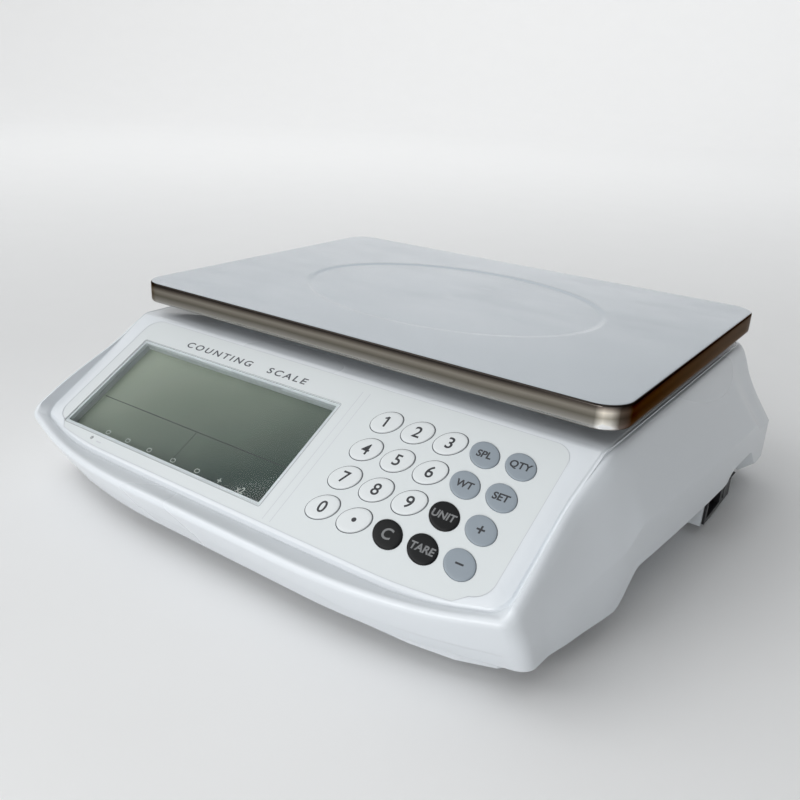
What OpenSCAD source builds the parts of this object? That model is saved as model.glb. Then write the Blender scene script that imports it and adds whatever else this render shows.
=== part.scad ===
// Counting scale: moulded housing with a sloping console, and a lift-off steel pan on a load cell.
// X runs to the right, Y to the back and Z up. The origin is on the floor, under the middle of the scale.

/* [Pan] */
// Width of the pan
pan_w = 300; // [280:1:310]
// Depth of the pan
pan_d = 210; // [196:1:214]
// Height of the turned-down rim
pan_rim = 11.5; // [9:0.5:12]
// Thickness of the pan's sheet
pan_sheet = 1; // [0.8:0.1:1.2]
// Corner radius of the pan
pan_corner = 14; // [10:1:24]
// Distance of the pan's middle behind the origin
pan_y = 47; // [45:0.5:49]

/* [Housing] */
// Height of the pan's top face above the floor
overall_h = 102; // [101.5:0.1:102.5]
// Height of the flat deck under the pan
deck_z = 83; // [82:0.5:83.5]
// Front edge of the housing at the middle
front_edge = -155; // [-157:0.5:-154]
// Rear edge of the deck
rear_edge = 151; // [149:0.5:152]
// Half the width of the console's shoulders
console_half_w = 149.5; // [148.5:0.5:150]
// Half the width of the deck
deck_half_w = 152; // [151:0.5:153]
// Height of the housing's bottom edge
skirt_z = 12; // [11:0.5:13]
// Height of the arch in each side wall
arch_z = 27; // [25:0.5:28]
// Wall thickness of the housing
wall = 2.6; // [2.4:0.1:2.8]
// How far the side walls flare out at the rear
rear_flare = 19; // [17:0.5:20]

/* [Console] */
// Tilt of the console panel
panel_tilt = 29.42; // [28.5:0.1:30]
// Y of the point where the panel's axes start
panel_y = -121; // [-122:0.1:-120]
// Z of that point
panel_z = 48.3; // [47.8:0.1:48.8]
// Half the width of the printed film
film_half_w = 134; // [133:0.5:135]
// Thickness of the printed film
film_t = 0.5; // [0.4:0.05:0.6]

/* [Keys] */
// Spacing of the key columns
key_pitch_u = 17.43; // [17.2:0.01:17.8]
// Spacing of the key rows
key_pitch_v = 17.13; // [17:0.01:17.5]
// Half the long axis of a key
key_long = 7.9; // [7.4:0.1:8]
// Half the short axis of a key
key_short = 6.1; // [5.6:0.1:6.2]
// How far a key stands above the film
key_rise = 0.9; // [0.6:0.1:1.2]
// Slant of the oval keys
key_slant = 33; // [0:1:40]

/* [Weighing] */
// Length of the load cell
cell_l = 130; // [128:1:134]
// Width of the load cell
cell_w = 30; // [28:1:32]
// Height of the load cell
cell_h = 22; // [20:1:24]

/* [Hidden] */

// Gap left round parts that sit in one another without a fit
clear = 0.3;
// Radial clearance of a pin or screw in its hole
fit = 0.05;
// Small overlap used only inside one solid
bite = 0.5;

// --- console: openings and places, along the panel (u, v) and above it (w) ---
window_left = -125.8;
window_right = 18.3;
window_front = -12;
window_back = 52.2;
window_mid_u = (window_left + window_right) / 2;
window_mid_v = (window_front + window_back) / 2;
window_w = window_right - window_left;
window_d = window_back - window_front;
window_ledge = 1.5;
lcd_depth = 5.6;
lcd_t = 2.8;
backlight_t = 4;
board_t = 1.6;
display_board_w = -14.6;
keypad_board_w = -13.6;
film_pocket = 0.6;
window_seat = 0.02;
film_top = film_t - film_pocket;
key_u0 = 47.2;
key_v0 = 50.6;
key_flange = 0.8;
key_flange_top = -2.9;
key_flange_t = 1;
plunger_r = 2;
plunger_end = -7.4;
switch_side = 6;
switch_top = -8.5;
led_u = -98.8;
led_v = -14.9;
led_r = 1.1;

// --- housing: plan outline, heights and flare ---
bow_start = 50;
bow_run = 550;
front_corner_r = 8;
rear_corner_r = 16;
front_undercut = 17;
lip_rise = 4.6;
lip_z = 38.5;
arch_front = -62;
arch_rear = 102;
arch_run = 20;
tuck = 8;
crease_share = 0.4;
front_flare = 1.5;
flare_start = -125;
flare_run = 255;
border_inset = 7.5;

// --- case, load path and feet ---
case_z = 6;
case_t = 2.6;
case_wall = 2.4;
case_floor = case_z + case_t;
case_top = 26.4;
shelf_x = 160.3;
shelf_t = 2;
shelf_front = -38;
shelf_rear = 98;
pod_x = 164.2;
pod_front = 51;
pod_rear = 101;
pod_z = 5;
pod_top = 26.6;
pod_wall = 1.8;
flange_t = 1.4;
socket_front = 54.8;
socket_rear = 80.4;
switch_front = 83.3;
switch_rear = 96.3;
port_z = 7;
port_top = 24.6;
rocker_x = 163.8;
rocker_y = 89.8;
rocker_z = 15.8;
rocker_tilt = 8;
cell_z = 21;
hub_gap = 3;
hub_t = 6;
support_z = 88;
support_t = 3.5;
support_w = 216;
support_d = 180;
pad_r = 8;
pan_floor = overall_h - pan_sheet;
fixed_bolt_x = [-57, -43];
free_bolt_x = [43, 57];
m6_r = 3;
stop_x = 90;
stop_y = 70;
stop_gap = 0.6;
stop_r = 2.5;
stop_boss_r = 5;
stop_boss_h = 13;
hub_hole_x = 38;
hub_hole_y = 26;
level_y = 137;
level_r = 8;
front_foot = [118, -90];
rear_foot = [125, 125];
foot_well_r = 17;
foot_well_z = 11;
insert_r = 6;
insert_top = 21;
foot_disc_z = 7.2;
screw_places = [[132.5, -111], [138, -40], [104, 138]];
boss_r = 4;
housing_screw_r = 1.55;
battery_left = -139.2;
battery_right = -69.2;
battery_front = 0;
battery_rear = 98;
battery_top = 54;
emboss_a = 94.9;
emboss_b = 68.7;
emboss_drop = 0.8;
plate_margin = 1.2;

function smoothstep(t) = let (c = min(1, max(0, t))) c * c * (3 - 2 * c);
function soft_max(a, b, k) = (a + b + sqrt((a - b) ^ 2 + k * k)) / 2;
function soft_min(a, b, k) = (a + b - sqrt((a - b) ^ 2 + k * k)) / 2;

// Height of the console panel at a given y
function panel_height(y) = panel_z + (y - panel_y) * tan(panel_tilt);
// Height of the top surface inside the shoulders
function top_height(y) = min(panel_height(y), deck_z);
// Height of the shoulders along the outline
function shoulder_height(y) =
    let (raised = panel_height(y) + lip_rise * smoothstep((-65 - y) / 60))
    soft_min(soft_max(raised, lip_z, 3), deck_z - 0.5, 3);

// Front edge of the housing, straight in the middle and swept back towards the ends
function front_y(x) = front_edge + max(0, abs(x) - bow_start) ^ 2 / bow_run;
// Half the width of the shoulders at a given y
function half_width(y) = console_half_w + (deck_half_w - console_half_w) * smoothstep((y + 90) / 35);

front_corner_x = console_half_w - front_corner_r;
front_corner_y = front_y(front_corner_x) + front_corner_r;
rear_corner_x = deck_half_w - rear_corner_r;
rear_corner_y = rear_edge - rear_corner_r;
// Y where the console meets the deck
break_y = panel_y + (deck_z - panel_z) / tan(panel_tilt);

side_stations = [-115, -98, -82, -72, arch_front, break_y, -42, -20, 15, 50, 80, 102, 122];
right_half = concat(
    [for (x = [25, 50, 75, 98, 120]) [x, front_y(x)]],
    [for (a = [-68, -45, -22, 0]) [front_corner_x + front_corner_r * cos(a),
                                   front_corner_y + front_corner_r * sin(a)]],
    [for (y = side_stations) [half_width(y), y]],
    [for (a = [0, 22, 45, 68, 90]) [rear_corner_x + rear_corner_r * cos(a),
                                    rear_corner_y + rear_corner_r * sin(a)]],
    [for (x = [100, 60, 25]) [x, rear_edge]]
);
half_count = len(right_half);
left_half = [for (i = [half_count - 1 : -1 : 0]) [-right_half[i][0], right_half[i][1]]];
outline = concat(right_half, left_half);
count = len(outline);

// Border of the top surface, point for point beside the outline
border_front = -139.3;
border_r = 8;
function border_front_y(x) = border_front + (x / 150) ^ 2 + max(0, x - 90) ^ 2 / 300;
border_corner_x = console_half_w - border_inset - border_r;
border_corner_y = border_front_y(border_corner_x) + border_r;
function border_half(extra) = concat(
    [for (x = [25, 50, 75, 98, 120]) [x, border_front_y(x) + extra]],
    [for (a = [-68, -45, -22, 0]) [border_corner_x + (border_r - extra) * cos(a),
                                   border_corner_y + (border_r - extra) * sin(a)]],
    [for (y = side_stations) [half_width(y) - border_inset - extra, y]],
    [for (a = [0, 22, 45, 68, 90])
        [rear_corner_x + (rear_corner_r - border_inset - extra) * cos(a),
         rear_corner_y + (rear_corner_r - border_inset - extra) * sin(a)]],
    [for (x = [100, 60, 25])
        [x, rear_edge - border_inset - extra + (rear_corner_x - x) / 500]]
);
function border_ring(drop, extra) =
    let (right = border_half(extra),
         loop = concat(right, [for (i = [half_count - 1 : -1 : 0]) [-right[i][0], right[i][1]]]))
    [for (q = loop) [q[0], q[1], top_height(q[1]) - drop]];

function unit2(v) = v / norm(v);
// Outward normal of the outline at point i
function outward(i) =
    let (d = outline[(i + 1) % count] - outline[(i + count - 1) % count])
    unit2([d[1], -d[0]]);

// Share of the side flare reached at a height share h, with a crease where it ends
function flare_share(h) = let (t = min(1, (1 - h) / (1 - crease_share))) t * t * (1.6 - 0.6 * t);
// Flare of the side wall at a given y, growing from the front to the rear
function side_flare(y) =
    let (t = min(1, max(0, (y - flare_start) / flare_run)))
    front_flare + rear_flare * (1 - (1 - t) ^ 1.7);
// Height of the bottom edge along the outline
function bottom_edge(p) =
    abs(p[0]) < console_half_w - 1 ? skirt_z :
    skirt_z + (arch_z - skirt_z) * min(1, max(0, (p[1] - arch_front) / arch_run))
            * min(1, max(0, (arch_rear + arch_run - p[1]) / arch_run));
// Outward offset of the wall from the outline at height share h
function wall_offset(i, h) =
    let (p = outline[i], n = outward(i), tucked = max(0, 1 - h / 0.1))
    n[0] ^ 2 * (side_flare(p[1]) * flare_share(h) - tuck * tucked * smoothstep((p[1] - 60) / 50))
    + n[1] ^ 2 * (n[1] < 0 ? 0 : 4 * flare_share(h) - 4 * tucked);
// How far the front wall leans back below the shoulders at height share h
function lean(p, h) = front_undercut * (1 - h) * (1 - smoothstep((p[1] - front_corner_y) / 50));
// Point of the outer wall at height share h, moved inward by inset and down by drop
function wall_point(i, h, inset, drop) =
    let (p = outline[i], z0 = bottom_edge(p), z1 = shoulder_height(p[1]),
         q = p + outward(i) * (wall_offset(i, h) - inset))
    [q[0], q[1] + lean(p, h), z0 + h * (z1 - z0) - drop];

// How far the shoulder at point i takes the broad rounding of the sides, 0 to 1
function side_round(i) = outward(i)[0] ^ 2 * smoothstep((outline[i][1] + 125) / 50);

outer_shares = [0, 0.1, 0.35, 0.55, 0.75];
inner_shares = [0, 0.1, 0.35, 0.6, 0.85];
outer_rings = concat(
    [for (h = outer_shares) [for (i = [0 : count - 1]) wall_point(i, h, 0, 0)]],
    [[for (i = [0 : count - 1]) wall_point(i, 0.9, 0.7 * side_round(i), 0)]],
    [[for (i = [0 : count - 1]) wall_point(i, 1, 1.2 + 0.5 * side_round(i), 1.2 + 2.3 * side_round(i))]],
    [[for (i = [0 : count - 1]) wall_point(i, 1, 4 + 1.8 * side_round(i), 0)]],
    [border_ring(0, 0)]
);
inner_rings = concat(
    [for (h = inner_shares) [for (i = [0 : count - 1]) wall_point(i, h, wall, 0)]],
    [border_ring(wall + 0.4, 1)]
);

module housing_shell() {
    rings = concat(outer_rings, inner_rings);
    last_outer = len(outer_rings) - 1;
    first_inner = len(outer_rings);
    last_inner = len(rings) - 1;
    points = [for (r = rings) each r];
    function id(r, i) = r * count + i % count;
    wall_faces = [
        for (r = [0 : last_outer - 1], i = [0 : count - 1])
            each [[id(r, i), id(r + 1, i), id(r + 1, i + 1)], [id(r, i), id(r + 1, i + 1), id(r, i + 1)]],
        for (r = [first_inner : last_inner - 1], i = [0 : count - 1])
            each [[id(r, i), id(r + 1, i + 1), id(r + 1, i)], [id(r, i), id(r, i + 1), id(r + 1, i + 1)]],
        for (i = [0 : count - 1])
            each [[id(0, i), id(0, i + 1), id(first_inner, i + 1)],
                  [id(0, i), id(first_inner, i + 1), id(first_inner, i)]]
    ];
    function strip(r, i) = [id(r, i), id(r, i + 1), id(r, count - 2 - i), id(r, count - 1 - i)];
    cap_faces = [
        for (i = [0 : half_count - 2])
            let (o = strip(last_outer, i), n = strip(last_inner, i))
            each [[o[0], o[2], o[1]], [o[0], o[3], o[2]], [n[0], n[1], n[2]], [n[0], n[2], n[3]]]
    ];
    polyhedron(points = points, faces = concat(wall_faces, cap_faces), convexity = 6);
}

module on_panel(u = 0, v = 0, w = 0) {
    translate([0, panel_y, panel_z]) rotate([panel_tilt, 0, 0]) translate([u, v, w]) children();
}

module slab(x0, x1, y0, y1, z0, z1) {
    translate([x0, y0, z0]) cube([x1 - x0, y1 - y0, z1 - z0]);
}

module rounded_slab(w, d, h, r) {
    linear_extrude(height = h) union() {
        square([w - 2 * r, d], center = true);
        square([w, d - 2 * r], center = true);
        for (x = [-1, 1], y = [-1, 1]) translate([x * (w / 2 - r), y * (d / 2 - r)]) circle(r = r, $fn = 48);
    }
}

// Oval outline with half axes a and b
function oval(a, b) = [for (t = [0 : 10 : 350]) [a * cos(t), b * sin(t)]];

// Outline of the printed film, grown outward by g
module film_outline(g) {
    r = 9;
    w = film_half_w + g;
    back = 68 + g;
    front = -18.6 - g;
    side_front = -11.2 - g;
    right = concat(
        [[96, front]],
        [for (a = [-80 : 20 : 0]) [w - r + r * cos(a), side_front + r + r * sin(a)]],
        [for (a = [0 : 22.5 : 90]) [w - r + r * cos(a), back - r + r * sin(a)]]
    );
    polygon(concat(right, [for (i = [len(right) - 1 : -1 : 0]) [-right[i][0], right[i][1]]]));
}

// Hole through the panel for the key in a column and row
module key_place(column, row, slant) {
    on_panel(key_u0 + column * key_pitch_u, key_v0 - row * key_pitch_v)
        rotate([0, 0, slant]) children();
}

// Slant of the key in a column and row: digits lean one way, functions the other
function slant_of(column, row) = column < 3 && !(row == 3 && column == 2) ? key_slant : -key_slant;

module key_holes(grow, from, to) {
    for (column = [0 : 4], row = [0 : 3])
        key_place(column, row, slant_of(column, row))
            translate([0, 0, from]) linear_extrude(height = to - from)
                polygon(oval(key_long + grow, key_short + grow));
}

module both_sides() {
    children();
    mirror([1, 0, 0]) children();
}

module upper_housing() {
    color("whitesmoke") difference() {
        union() {
            housing_shell();
            both_sides() for (p = screw_places)
                translate([p[0], p[1], case_floor + clear])
                    cylinder(r = boss_r, h = top_height(p[1] - boss_r) - 1.2 - case_floor - clear, $fn = 40);
            for (x = [-stop_x, stop_x], y = [-stop_y, stop_y])
                translate([x, pan_y + y, deck_z - 1 - stop_boss_h])
                    cylinder(r = stop_boss_r, h = stop_boss_h, $fn = 40);
        }
        both_sides() for (p = screw_places)
            translate([p[0], p[1], 0]) cylinder(r = housing_screw_r + fit, h = case_floor + 16, $fn = 32);
        for (x = [-stop_x, stop_x], y = [-stop_y, stop_y])
            translate([x, pan_y + y, deck_z - 20]) cylinder(r = stop_r + fit, h = 25, $fn = 32);
        slab(-hub_hole_x, hub_hole_x, pan_y - hub_hole_y, pan_y + hub_hole_y, deck_z - 6, deck_z + 6);
        translate([0, level_y, deck_z - 6]) cylinder(r = level_r + fit, h = 12, $fn = 48);
        on_panel(0, 0, -film_pocket) linear_extrude(height = 3) film_outline(0.2);
        on_panel(window_mid_u, window_mid_v, -4) linear_extrude(height = 6)
            square([window_w - 2 * window_ledge, window_d - 2 * window_ledge], center = true);
        on_panel(led_u, led_v, -4) cylinder(r = led_r + fit, h = 6, $fn = 32);
        key_holes(0.15, -5, 3);
    }
}

// Plan outline of the bottom case, moved inward by d
module case_outline(d) {
    right = [[48, -131 + d], [100, -128 + d], [120 - d / 3, -124.8 + d], [136 - d / 2, -118.6 + d],
             [142 - d, -112 + d / 2], [145 - d, -60], [149 - d, 10], [150 - d, 132],
             [140 - d / 2, 146 - d]];
    polygon(concat(right, [for (i = [len(right) - 1 : -1 : 0]) [-right[i][0], right[i][1]]]));
}

module at_feet() {
    both_sides() for (p = [front_foot, rear_foot]) translate([p[0], p[1], 0]) children();
}

module bottom_case() {
    color("gainsboro") difference() {
        union() {
            translate([0, 0, case_z]) linear_extrude(height = case_top - case_z) case_outline(0);
            slab(140, pod_x, pod_front, pod_rear, pod_z, pod_top);
            both_sides() slab(144, shelf_x, shelf_front, shelf_rear, case_top - shelf_t, case_top);
        }
        difference() {
            union() {
                translate([0, 0, case_floor]) linear_extrude(height = case_top) case_outline(case_wall);
                slab(138, pod_x - pod_wall, pod_front + pod_wall, pod_rear - pod_wall,
                     pod_z + pod_wall, pod_top - pod_wall);
            }
            at_feet() cylinder(r = foot_well_r + 2, h = foot_well_z + 3, $fn = 48);
            at_feet() cylinder(r = insert_r + 3, h = insert_top, $fn = 48);
        }
        at_feet() cylinder(r = foot_well_r, h = foot_well_z, $fn = 64);
        at_feet() cylinder(r = insert_r + 0.02, h = insert_top + 5, $fn = 64);
        both_sides() for (p = screw_places)
            translate([p[0], p[1], 0]) cylinder(r = housing_screw_r + fit, h = case_floor + 5, $fn = 32);
        for (x = fixed_bolt_x) translate([x, pan_y, 0]) cylinder(r = m6_r + fit, h = 20, $fn = 40);
        slab(battery_left - 0.6, battery_right + 0.7, battery_front - 2, battery_rear + 2,
             0, case_floor + 1);
        slab(pod_x - 5, pod_x + 5, socket_front - 0.3, switch_rear + 0.3, port_z, port_top);
    }
}

module battery_cover() {
    color("gainsboro") union() {
        slab(-144, -65, -6, 104, 3.8, case_z);
        slab(battery_left, battery_right, battery_front - 1.4, battery_rear + 1.4, case_z - bite,
             case_floor);
    }
}

module overlay_film() {
    color("white") difference() {
        on_panel(0, 0, -film_pocket) linear_extrude(height = film_t) film_outline(0);
        on_panel(window_mid_u, window_mid_v, -2) linear_extrude(height = 4)
            square([window_w + 0.2, window_d + 0.2], center = true);
        on_panel(led_u, led_v, -2) cylinder(r = led_r + fit, h = 4, $fn = 32);
        key_holes(0.15, -2, 2);
    }
}

module display_window() {
    color("lightcyan", 0.4) on_panel(window_mid_u, window_mid_v, window_seat - film_pocket)
        linear_extrude(height = film_t) square([window_w, window_d], center = true);
}

// Rectangular plate centred on the display window, in panel axes
module display_plate(margin, bottom, thickness) {
    on_panel(window_mid_u, window_mid_v, bottom) linear_extrude(height = thickness)
        square([window_w + 2 * margin, window_d + 2 * margin], center = true);
}

module lcd_frame() {
    depth = lcd_depth + lcd_t + backlight_t;
    color("white") difference() {
        display_plate(plate_margin, -depth, depth - wall - clear);
        display_plate(-window_ledge, -lcd_depth - 1, lcd_depth);
        display_plate(0.4, -depth - 1, lcd_t + backlight_t + 1);
    }
}

module lcd_glass() {
    color("darkseagreen") display_plate(0, -lcd_depth - lcd_t, lcd_t);
}

module lcd_backlight() {
    color("ghostwhite") display_plate(0, -lcd_depth - lcd_t - backlight_t, backlight_t);
}

module display_board() {
    front = led_v - 3;
    color("darkgreen") difference() {
        on_panel(window_mid_u, (front + window_back + plate_margin) / 2, display_board_w)
            linear_extrude(height = board_t)
                square([window_w + 2 * plate_margin, window_back + plate_margin - front], center = true);
        for (u = [-70, 70], v = [-30, 30])
            on_panel(window_mid_u + u, window_mid_v + v, display_board_w - 1)
                cylinder(r = 1.6, h = 4, $fn = 32);
    }
}

module status_led() {
    foot_w = display_board_w + board_t;
    color("dimgray") on_panel(led_u, led_v, foot_w) union() {
        cylinder(r = led_r, h = film_top - foot_w, $fn = 32);
        cylinder(r = led_r + 0.2, h = -wall - 1 - foot_w, $fn = 32);
    }
}

module keypad_board() {
    color("darkgreen") on_panel(key_u0 + 2 * key_pitch_u, key_v0 - 1.5 * key_pitch_v, keypad_board_w)
        linear_extrude(height = board_t) square([90, 72], center = true);
}

module key_switches() {
    color("silver") for (column = [0 : 4], row = [0 : 3]) key_place(column, row, 0) union() {
        translate([0, 0, (keypad_board_w + board_t + switch_top) / 2])
            cube([switch_side, switch_side, switch_top - keypad_board_w - board_t], center = true);
        translate([0, 0, switch_top - bite]) cylinder(r = 1.7, h = bite + 0.5, $fn = 24);
    }
}

// One key: an oval cap through the panel, a flange under it and a plunger over its switch
module key(column, row, tint) {
    color(tint) key_place(column, row, slant_of(column, row)) union() {
        translate([0, 0, key_flange_top - key_flange_t])
            linear_extrude(height = key_rise + film_top - key_flange_top + key_flange_t)
                polygon(oval(key_long, key_short));
        translate([0, 0, key_flange_top - key_flange_t]) linear_extrude(height = key_flange_t)
            polygon(oval(key_long + key_flange, key_short + key_flange));
        translate([0, 0, plunger_end])
            cylinder(r = plunger_r, h = key_flange_top - key_flange_t + bite - plunger_end, $fn = 24);
    }
}

module main_board() {
    color("darkgreen") difference() {
        union() {
            slab(-45, 65, -104, -30, 16, 16 + board_t);
            for (x = [-40, 60], y = [-99, -35])
                translate([x, y, case_floor]) cylinder(r = 3, h = 16 - case_floor + bite, $fn = 32);
        }
        for (x = [-40, 60], y = [-99, -35]) translate([x, y, 0]) cylinder(r = 1.5, h = 20, $fn = 32);
    }
}

module board_components() {
    top = 16 + board_t;
    color("black") {
        slab(-20, 0, -75, -55, top, top + 2.5);
        slab(10, 24, -70, -60, top, top + 2);
        slab(-36, -22, -48, -38, top, top + 8);
        slab(30, 52, -98, -88, top, top + 9);
        for (x = [34, 46]) translate([x, -50, top]) cylinder(r = 5, h = 12, $fn = 32);
    }
}

module battery() {
    color("dimgray") union() {
        slab(battery_left, battery_right, battery_front, battery_rear, case_floor + 0.1, battery_top);
        for (x = [battery_left + 10, battery_right - 15])
            slab(x, x + 5, battery_front + 8, battery_front + 9, battery_top - bite, battery_top + 6);
    }
}

// Strap over the battery with a leg on the case floor at each side
module battery_clamp() {
    strap_t = 2.4;
    gap = 0.9;
    color("silver") difference() {
        slab(battery_left - gap - strap_t, battery_right + gap + strap_t, 60, 72, case_floor,
             battery_top + clear + strap_t);
        slab(battery_left - gap, battery_right + gap, 50, 80, 0, battery_top + clear);
    }
}

module mains_transformer() {
    color("dimgray") union() {
        slab(80, 124, -20, 20, case_floor, 48);
        slab(86, 118, -30, 30, 14, 42);
    }
}

module power_inlet() {
    shell_t = 1.1;
    mid_y = (socket_front + socket_rear) / 2;
    mid_z = (port_z + port_top) / 2;
    color("black") difference() {
        union() {
            slab(pod_x, pod_x + flange_t, pod_front + 2, pod_rear - 2, pod_z + 0.6, pod_top - 0.4);
            slab(pod_x - 20, pod_x + bite, socket_front, socket_rear, port_z + 0.1, port_top - 0.1);
        }
        difference() {
            slab(pod_x - 15, pod_x + 3, socket_front + shell_t, socket_rear - shell_t,
                 port_z + shell_t, port_top - shell_t);
            for (y = [-7, 0, 7])
                slab(pod_x - 16, pod_x - 5, mid_y + y - 1, mid_y + y + 1, mid_z - 2, mid_z + 2);
        }
        slab(pod_x - 3, pod_x + 3, switch_front - 0.3, switch_rear + 0.3, port_z, port_top);
    }
}

module switch_housing() {
    color("black") difference() {
        slab(pod_x - 14, pod_x + flange_t, switch_front, switch_rear, port_z + clear, port_top - clear);
        slab(pod_x - 9, pod_x + 3, rocker_y - 4.8, rocker_y + 4.8, rocker_z - 7.4, rocker_z + 7.4);
        translate([rocker_x, rocker_y, rocker_z]) rotate([90, 0, 0])
            cylinder(r = 1 + fit, h = 12.2, center = true, $fn = 32);
    }
}

// Rocker that tips about a pin along Y, resting with its lower end pressed in
module power_rocker() {
    color("black") translate([rocker_x, rocker_y, rocker_z]) rotate([0, rocker_tilt, 0]) union() {
        difference() {
            translate([-3, -4.5, -6.8]) cube([6.4, 9, 13.6]);
            translate([22, 0, 0]) rotate([90, 0, 0]) cylinder(r = 19.8, h = 20, center = true, $fn = 96);
        }
        rotate([90, 0, 0]) cylinder(r = 1, h = 11.6, center = true, $fn = 32);
    }
}

module bubble_level() {
    color("palegreen") translate([0, level_y, deck_z - 7]) union() {
        cylinder(r = level_r, h = 8, $fn = 48);
        translate([0, 0, 7]) cylinder(r = level_r + 2, h = 1.6, $fn = 48);
    }
}

module load_cell() {
    color("silver") difference() {
        slab(-cell_l / 2, cell_l / 2, pan_y - cell_w / 2, pan_y + cell_w / 2, cell_z, cell_z + cell_h);
        for (x = [-9, 9]) translate([x, pan_y, cell_z + cell_h / 2]) rotate([90, 0, 0])
            cylinder(r = 7.5, h = cell_w + 2, center = true, $fn = 64);
        slab(-9, 9, pan_y - cell_w, pan_y + cell_w, cell_z + 8, cell_z + cell_h - 8);
        for (x = concat(fixed_bolt_x, free_bolt_x))
            translate([x, pan_y, cell_z - 1]) cylinder(r = m6_r + fit, h = cell_h + 2, $fn = 40);
    }
}

module load_cell_spacer() {
    color("gray") difference() {
        slab(-cell_l / 2, -35, pan_y - cell_w / 2, pan_y + cell_w / 2, case_floor, cell_z);
        for (x = fixed_bolt_x) translate([x, pan_y, 0]) cylinder(r = m6_r + fit, h = 30, $fn = 40);
    }
}

module load_cell_bolts() {
    color("silver") for (x = fixed_bolt_x) translate([x, pan_y, case_z - 3.6]) union() {
        cylinder(r = 5, h = 3.6, $fn = 6);
        cylinder(r = m6_r, h = 30, $fn = 40);
    }
}

module load_cell_cable() {
    cable_r = 1.5;
    start = pan_y - cell_w / 2 - clear;
    end = -36;
    color("dimgray") translate([-38, 0, 30]) union() {
        translate([0, start, 0]) rotate([90, 0, 0]) cylinder(r = cable_r, h = start - end, $fn = 24);
        translate([0, end, 0]) sphere(r = cable_r, $fn = 24);
        translate([0, end, -12]) cylinder(r = cable_r, h = 12, $fn = 24);
    }
}

module overload_stops() {
    head_z = deck_z + bite / 5;
    color("silver") for (x = [-stop_x, stop_x], y = [-stop_y, stop_y])
        translate([x, pan_y + y, 0]) union() {
            translate([0, 0, head_z]) cylinder(r = 5, h = support_z - stop_gap - head_z, $fn = 6);
            translate([0, 0, deck_z - 16]) cylinder(r = stop_r, h = 17, $fn = 32);
        }
}

module housing_screws() {
    color("silver") both_sides() for (p = screw_places) translate([p[0], p[1], 0]) union() {
        translate([0, 0, case_z - 2]) cylinder(r = 3.2, h = 2, $fn = 32);
        translate([0, 0, case_z - 1]) cylinder(r = housing_screw_r, h = 15, $fn = 32);
    }
}

module foot_inserts() {
    color("goldenrod") at_feet() difference() {
        translate([0, 0, foot_well_z]) cylinder(r = insert_r, h = insert_top - foot_well_z, $fn = 64);
        cylinder(r = m6_r + fit, h = 40, $fn = 48);
    }
}

// Swivel pad of a levelling foot, with the blind hole that its screw turns in
module foot_pad(p, side) {
    color("black") translate([side * p[0], p[1], 0]) difference() {
        union() {
            cylinder(r = 14, h = 4, $fn = 64);
            cylinder(r = 7, h = 7, $fn = 48);
        }
        translate([0, 0, 1.8]) cylinder(r = m6_r + fit, h = 10, $fn = 48);
    }
}

// Levelling screw with its hand disc
module foot_screw(p, side) {
    color("dimgray") translate([side * p[0], p[1], 0]) union() {
        translate([0, 0, 2]) cylinder(r = m6_r, h = 28, $fn = 48);
        translate([0, 0, foot_disc_z]) cylinder(r = 10, h = 3.6, $fn = 64);
    }
}

module pan_support() {
    hub_z = cell_z + cell_h;
    color("lightgray") difference() {
        union() {
            translate([0, pan_y, support_z]) rounded_slab(support_w, support_d, support_t, 12);
            slab(-30, 30, pan_y - 18, pan_y + 18, hub_z + hub_gap, support_z + bite);
            slab(-20, cell_l / 2, pan_y - cell_w / 2, pan_y + cell_w / 2, hub_z + hub_gap,
                 hub_z + hub_gap + hub_t);
            slab(36, cell_l / 2, pan_y - cell_w / 2, pan_y + cell_w / 2, hub_z, hub_z + hub_gap + bite);
            for (y = [-60, 0, 60]) slab(-90, 90, pan_y + y - 1.5, pan_y + y + 1.5,
                                        support_z + support_t - bite, support_z + support_t + 4);
        }
        for (x = free_bolt_x) translate([x, pan_y, hub_z - 2]) cylinder(r = m6_r + fit, h = 20, $fn = 40);
    }
}

module support_bolts() {
    head_z = cell_z + cell_h + hub_gap + hub_t;
    color("silver") for (x = free_bolt_x) translate([x, pan_y, 0]) union() {
        translate([0, 0, head_z]) cylinder(r = 5, h = 4, $fn = 6);
        translate([0, 0, head_z - 22]) cylinder(r = m6_r, h = 23, $fn = 40);
    }
}

module support_pads() {
    pad_z = support_z + support_t;
    color("black") for (x = [-95, 95], y = [-78, 78])
        translate([x, pan_y + y, pad_z]) cylinder(r = pad_r, h = pan_floor - pad_z, $fn = 48);
}

module weighing_pan() {
    color("silver") translate([0, pan_y, overall_h]) difference() {
        union() {
            difference() {
                translate([0, 0, -pan_rim]) rounded_slab(pan_w, pan_d, pan_rim, pan_corner);
                translate([0, 0, -pan_rim - 1])
                    rounded_slab(pan_w - 2 * pan_sheet, pan_d - 2 * pan_sheet, pan_rim - pan_sheet + 1,
                                 pan_corner - pan_sheet);
            }
            translate([0, 0, -emboss_drop - pan_sheet]) linear_extrude(height = emboss_drop + pan_sheet / 2)
                polygon(oval(emboss_a, emboss_b));
        }
        translate([0, 0, -emboss_drop]) linear_extrude(height = 2)
            polygon(oval(emboss_a - 1.2, emboss_b - 1.2));
    }
}

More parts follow.
